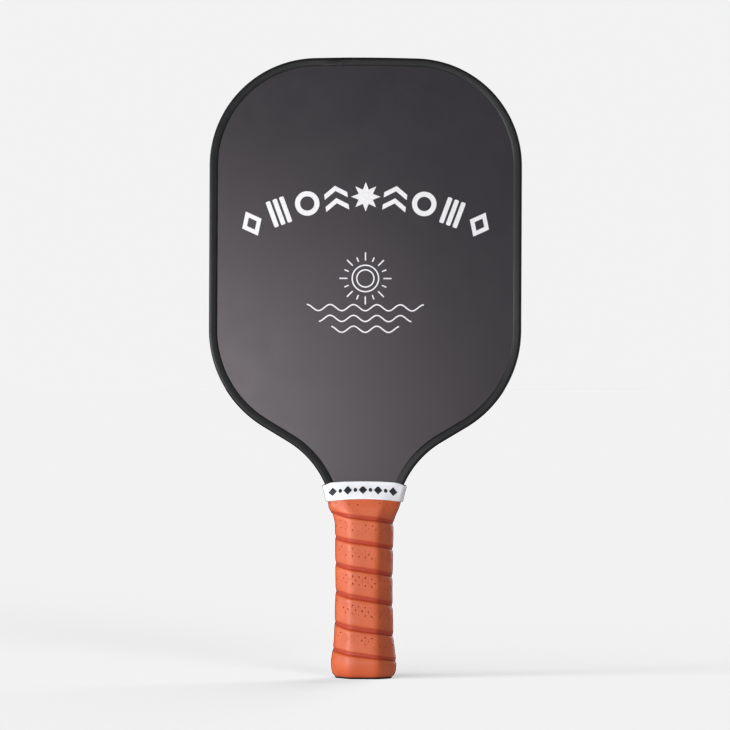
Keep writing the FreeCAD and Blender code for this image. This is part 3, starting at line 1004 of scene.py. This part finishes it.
# painted shade: darker brown on the thin edges, in the grooves between turns
orange_edged = mix_colours(orange, attribute_value(orange, "thin_edge"), orange_body, (0.39, 0.033, 0.007))
orange.node_tree.links.new(
    # painted shade: the holes' insides darker brown, the deeper the darker
    mix_colours(orange, attribute_value(orange, "hole"), orange_edged, (0.13, 0.018, 0.008)),
    orange_shader.inputs["Base Color"],
)
orange_shader.inputs["Sheen Weight"].default_value = 0.03
orange_shader.inputs["Sheen Roughness"].default_value = 0.4
orange.node_tree.links.new(
    value_range(orange, object_noise(orange, 500, 4), 0.42, 0.55, 0.3, 0.7),
    orange_shader.inputs["Roughness"],
)
pores = add_bump(orange, orange_shader, object_noise(orange, 700, 3), 0.18, 0.00012)
add_bump(orange, orange_shader, object_noise(orange, 2600, 2), 0.2, 0.00006, pores)
grip.data.materials.append(orange)
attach(grip, "root")
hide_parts("grip_tape")


# ---- Finishing tape ------------------------------------------------------------------------------
# One turn of thin black vinyl tape round the grip's upper end keeps the winding from coming loose. The
# collar hides it.

vinyl, vinyl_shader = new_material("vinyl_tape", (0.02, 0.02, 0.02), 0.35)
vinyl.node_tree.links.new(
    value_range(vinyl, object_noise(vinyl, 300, 3, (1, 1, 6)), 0.28, 0.45, 0.3, 0.7),
    vinyl_shader.inputs["Roughness"],
)
add_bump(vinyl, vinyl_shader, object_noise(vinyl, 900), 0.1, 0.00004)
cover_node("finishing_tape", vinyl)


# ---- Rubber collar -------------------------------------------------------------------------------
# A moulded band of white elastic rubber, rolled down over the tape. It is stretched over the widening neck,
# so its rims arch up at the front and back and its upper corners stand off the guard.

COLLAR_SECTIONS = [            # inside of the band, as the handle's sections
    (112.0, 23.4, 13.8, 11.6, 8.7), (116.0, 24.1, 12.9, 12.0, 8.9), (119.0, 24.85, 12.15, 12.4, 9.1),
    (121.5, 25.55, 11.4, 12.8, 9.2), (123.5, 25.95, 10.2, 15.0, 8.5), (125.5, 26.5, 8.95, 19.5, 7.2),
    (129.0, 27.6, 8.5, 21.5, 6.6),
]
COLLAR_COLUMNS = 160
COLLAR_SOFTNESS = 0.018
COLLAR_TOP = (127.9, 3.3)      # height at the middle, and how far the sides lie below it
COLLAR_BOTTOM = (116.5, 2.0)
COLLAR_HALF_WIDTH = 27.0
COLLAR_MIDDLE_Z = 121.0
RIPPLE = 0.06

# the band's section: share of the way up, and how far out from its inside
BAND_SECTION = [
    (0.0, 0.15), (-0.015, 0.55), (0.005, 0.98), (0.05, 1.22), (0.12, 1.22), (0.3, 1.1), (0.5, 1.06),
    (0.7, 1.08), (0.88, 1.18), (0.955, 1.24), (0.99, 1.1), (1.0, 0.75), (0.995, 0.35), (0.97, 0.12),
    (0.75, 0.05), (0.5, 0.03), (0.25, 0.05), (0.0, 0.15),
]


def collar_height(x, share):
    """Height on the band at a distance across the paddle and a share of the way from its lower rim."""
    reach = (x / COLLAR_HALF_WIDTH) ** 2
    bottom_rim = COLLAR_BOTTOM[0] - COLLAR_BOTTOM[1] * reach
    top_rim = COLLAR_TOP[0] - COLLAR_TOP[1] * reach
    return bottom_rim + (top_rim - bottom_rim) * share


def on_collar(turn, share, height):
    """A point at a height above the band's inside; the rims' arch is found from a first guess of x."""
    rough_x = skin(COLLAR_SECTIONS, turn, COLLAR_MIDDLE_Z, height, COLLAR_SOFTNESS).x / MM
    return skin(COLLAR_SECTIONS, turn, collar_height(rough_x, share), height, COLLAR_SOFTNESS)


deselect_all()
band_rows = len(BAND_SECTION) - 1
bpy.ops.mesh.primitive_grid_add(x_subdivisions=COLLAR_COLUMNS, y_subdivisions=band_rows, size=1)
collar = bpy.context.object
collar.name = "collar_band"
for vertex in collar.data.vertices:
    k = round((vertex.co.y + 0.5) * band_rows)
    share, height = BAND_SECTION[k]
    turn = vertex.co.x + 0.5
    bearing = 2 * math.pi * turn
    ripple = RIPPLE * noise.noise(Vector((math.cos(bearing) * 3, math.sin(bearing) * 3, share)))
    vertex.co = on_collar(turn, share, height + ripple)
edit(collar)
bpy.ops.mesh.select_all(action="SELECT")
bpy.ops.mesh.remove_doubles(threshold=0.004 * MM)
bpy.ops.mesh.normals_make_consistent(inside=False)
leave_edit()
apply_modifier(collar, "SUBSURF", levels=1, render_levels=1)
bpy.ops.object.shade_smooth()

white_rubber, white_rubber_shader = new_material("white_rubber", (0.80, 0.81, 0.84), 0.42)
rubber_clouds = object_noise(white_rubber, 130, 5)
white_rubber.node_tree.links.new(
    colour_steps(white_rubber, rubber_clouds, [(0.3, (0.76, 0.77, 0.81)), (0.7, (0.82, 0.83, 0.86))]),
    white_rubber_shader.inputs["Base Color"],
)
white_rubber_shader.inputs["Subsurface Weight"].default_value = 0.08
white_rubber_shader.inputs["Subsurface Scale"].default_value = 0.001
dimple = add_bump(white_rubber, white_rubber_shader, object_noise(white_rubber, 240, 2), 0.1, 0.0002)
add_bump(white_rubber, white_rubber_shader, object_noise(white_rubber, 1800, 2), 0.08, 0.00005, dimple)
collar.data.materials.append(white_rubber)
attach(collar, "root")
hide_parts("rubber_collar")

# The band's print: a row of dark lozenges and dots.
MARK_HEIGHT = 5.2
MARK_STEP = 4.9
MARK_LEAD = 1.0                # the row's middle lies this far to the left
MARK_MIDDLE = 0.52             # share of the band's height
BAND_HEIGHT = 10.8
INK_BASE = 1.06                # the ink starts just under the band's surface
COLLAR_INK_THICKNESS = 0.12


def collar_turn(x, share):
    """The share of the way round at which the band's front is at x, at that share of its height."""
    first, second = -0.24, 0.24
    for _ in range(24):
        middle = (first + second) / 2
        if on_collar(middle, share, 1.1).x / MM > x:
            first = middle
        else:
            second = middle
    return (first + second) / 2


marks = []
for place in range(-4, 5):
    if place % 2 == 0:
        mark = flat_disc(4, MARK_HEIGHT / 2, (1.05, 1, 1))
    else:
        mark = flat_disc(24, MARK_HEIGHT * 0.22)
    edit(mark)
    bpy.ops.mesh.select_all(action="SELECT")
    bpy.ops.mesh.inset(thickness=0.35 * MM)
    bpy.ops.mesh.poke()
    bpy.ops.mesh.select_all(action="SELECT")
    bpy.ops.mesh.subdivide(number_cuts=2)
    leave_edit()
    for corner in mark.data.vertices:
        corner.co.x += place * MARK_STEP * MM
    marks.append(mark)
collar_print = join_pieces(marks, "collar_print")
for corner in collar_print.data.vertices:
    flat = corner.co / MM
    share = MARK_MIDDLE + flat.y / BAND_HEIGHT
    corner.co = on_collar(collar_turn(flat.x - MARK_LEAD, share), share, INK_BASE)

dark_ink, dark_ink_shader = new_material("dark_ink", (0.008, 0.010, 0.016), 0.6)
ink_clouds = object_noise(dark_ink, 900, 4)
dark_ink.node_tree.links.new(
    colour_steps(dark_ink, ink_clouds, [(0.35, (0.006, 0.008, 0.013)), (0.75, (0.012, 0.014, 0.020))]),
    dark_ink_shader.inputs["Base Color"],
)
collar_back_print = copy_behind(collar_print, "collar_back_print")
for print_piece in (collar_print, collar_back_print):
    make_ink(print_piece, print_piece.name, dark_ink, COLLAR_INK_THICKNESS * MM)
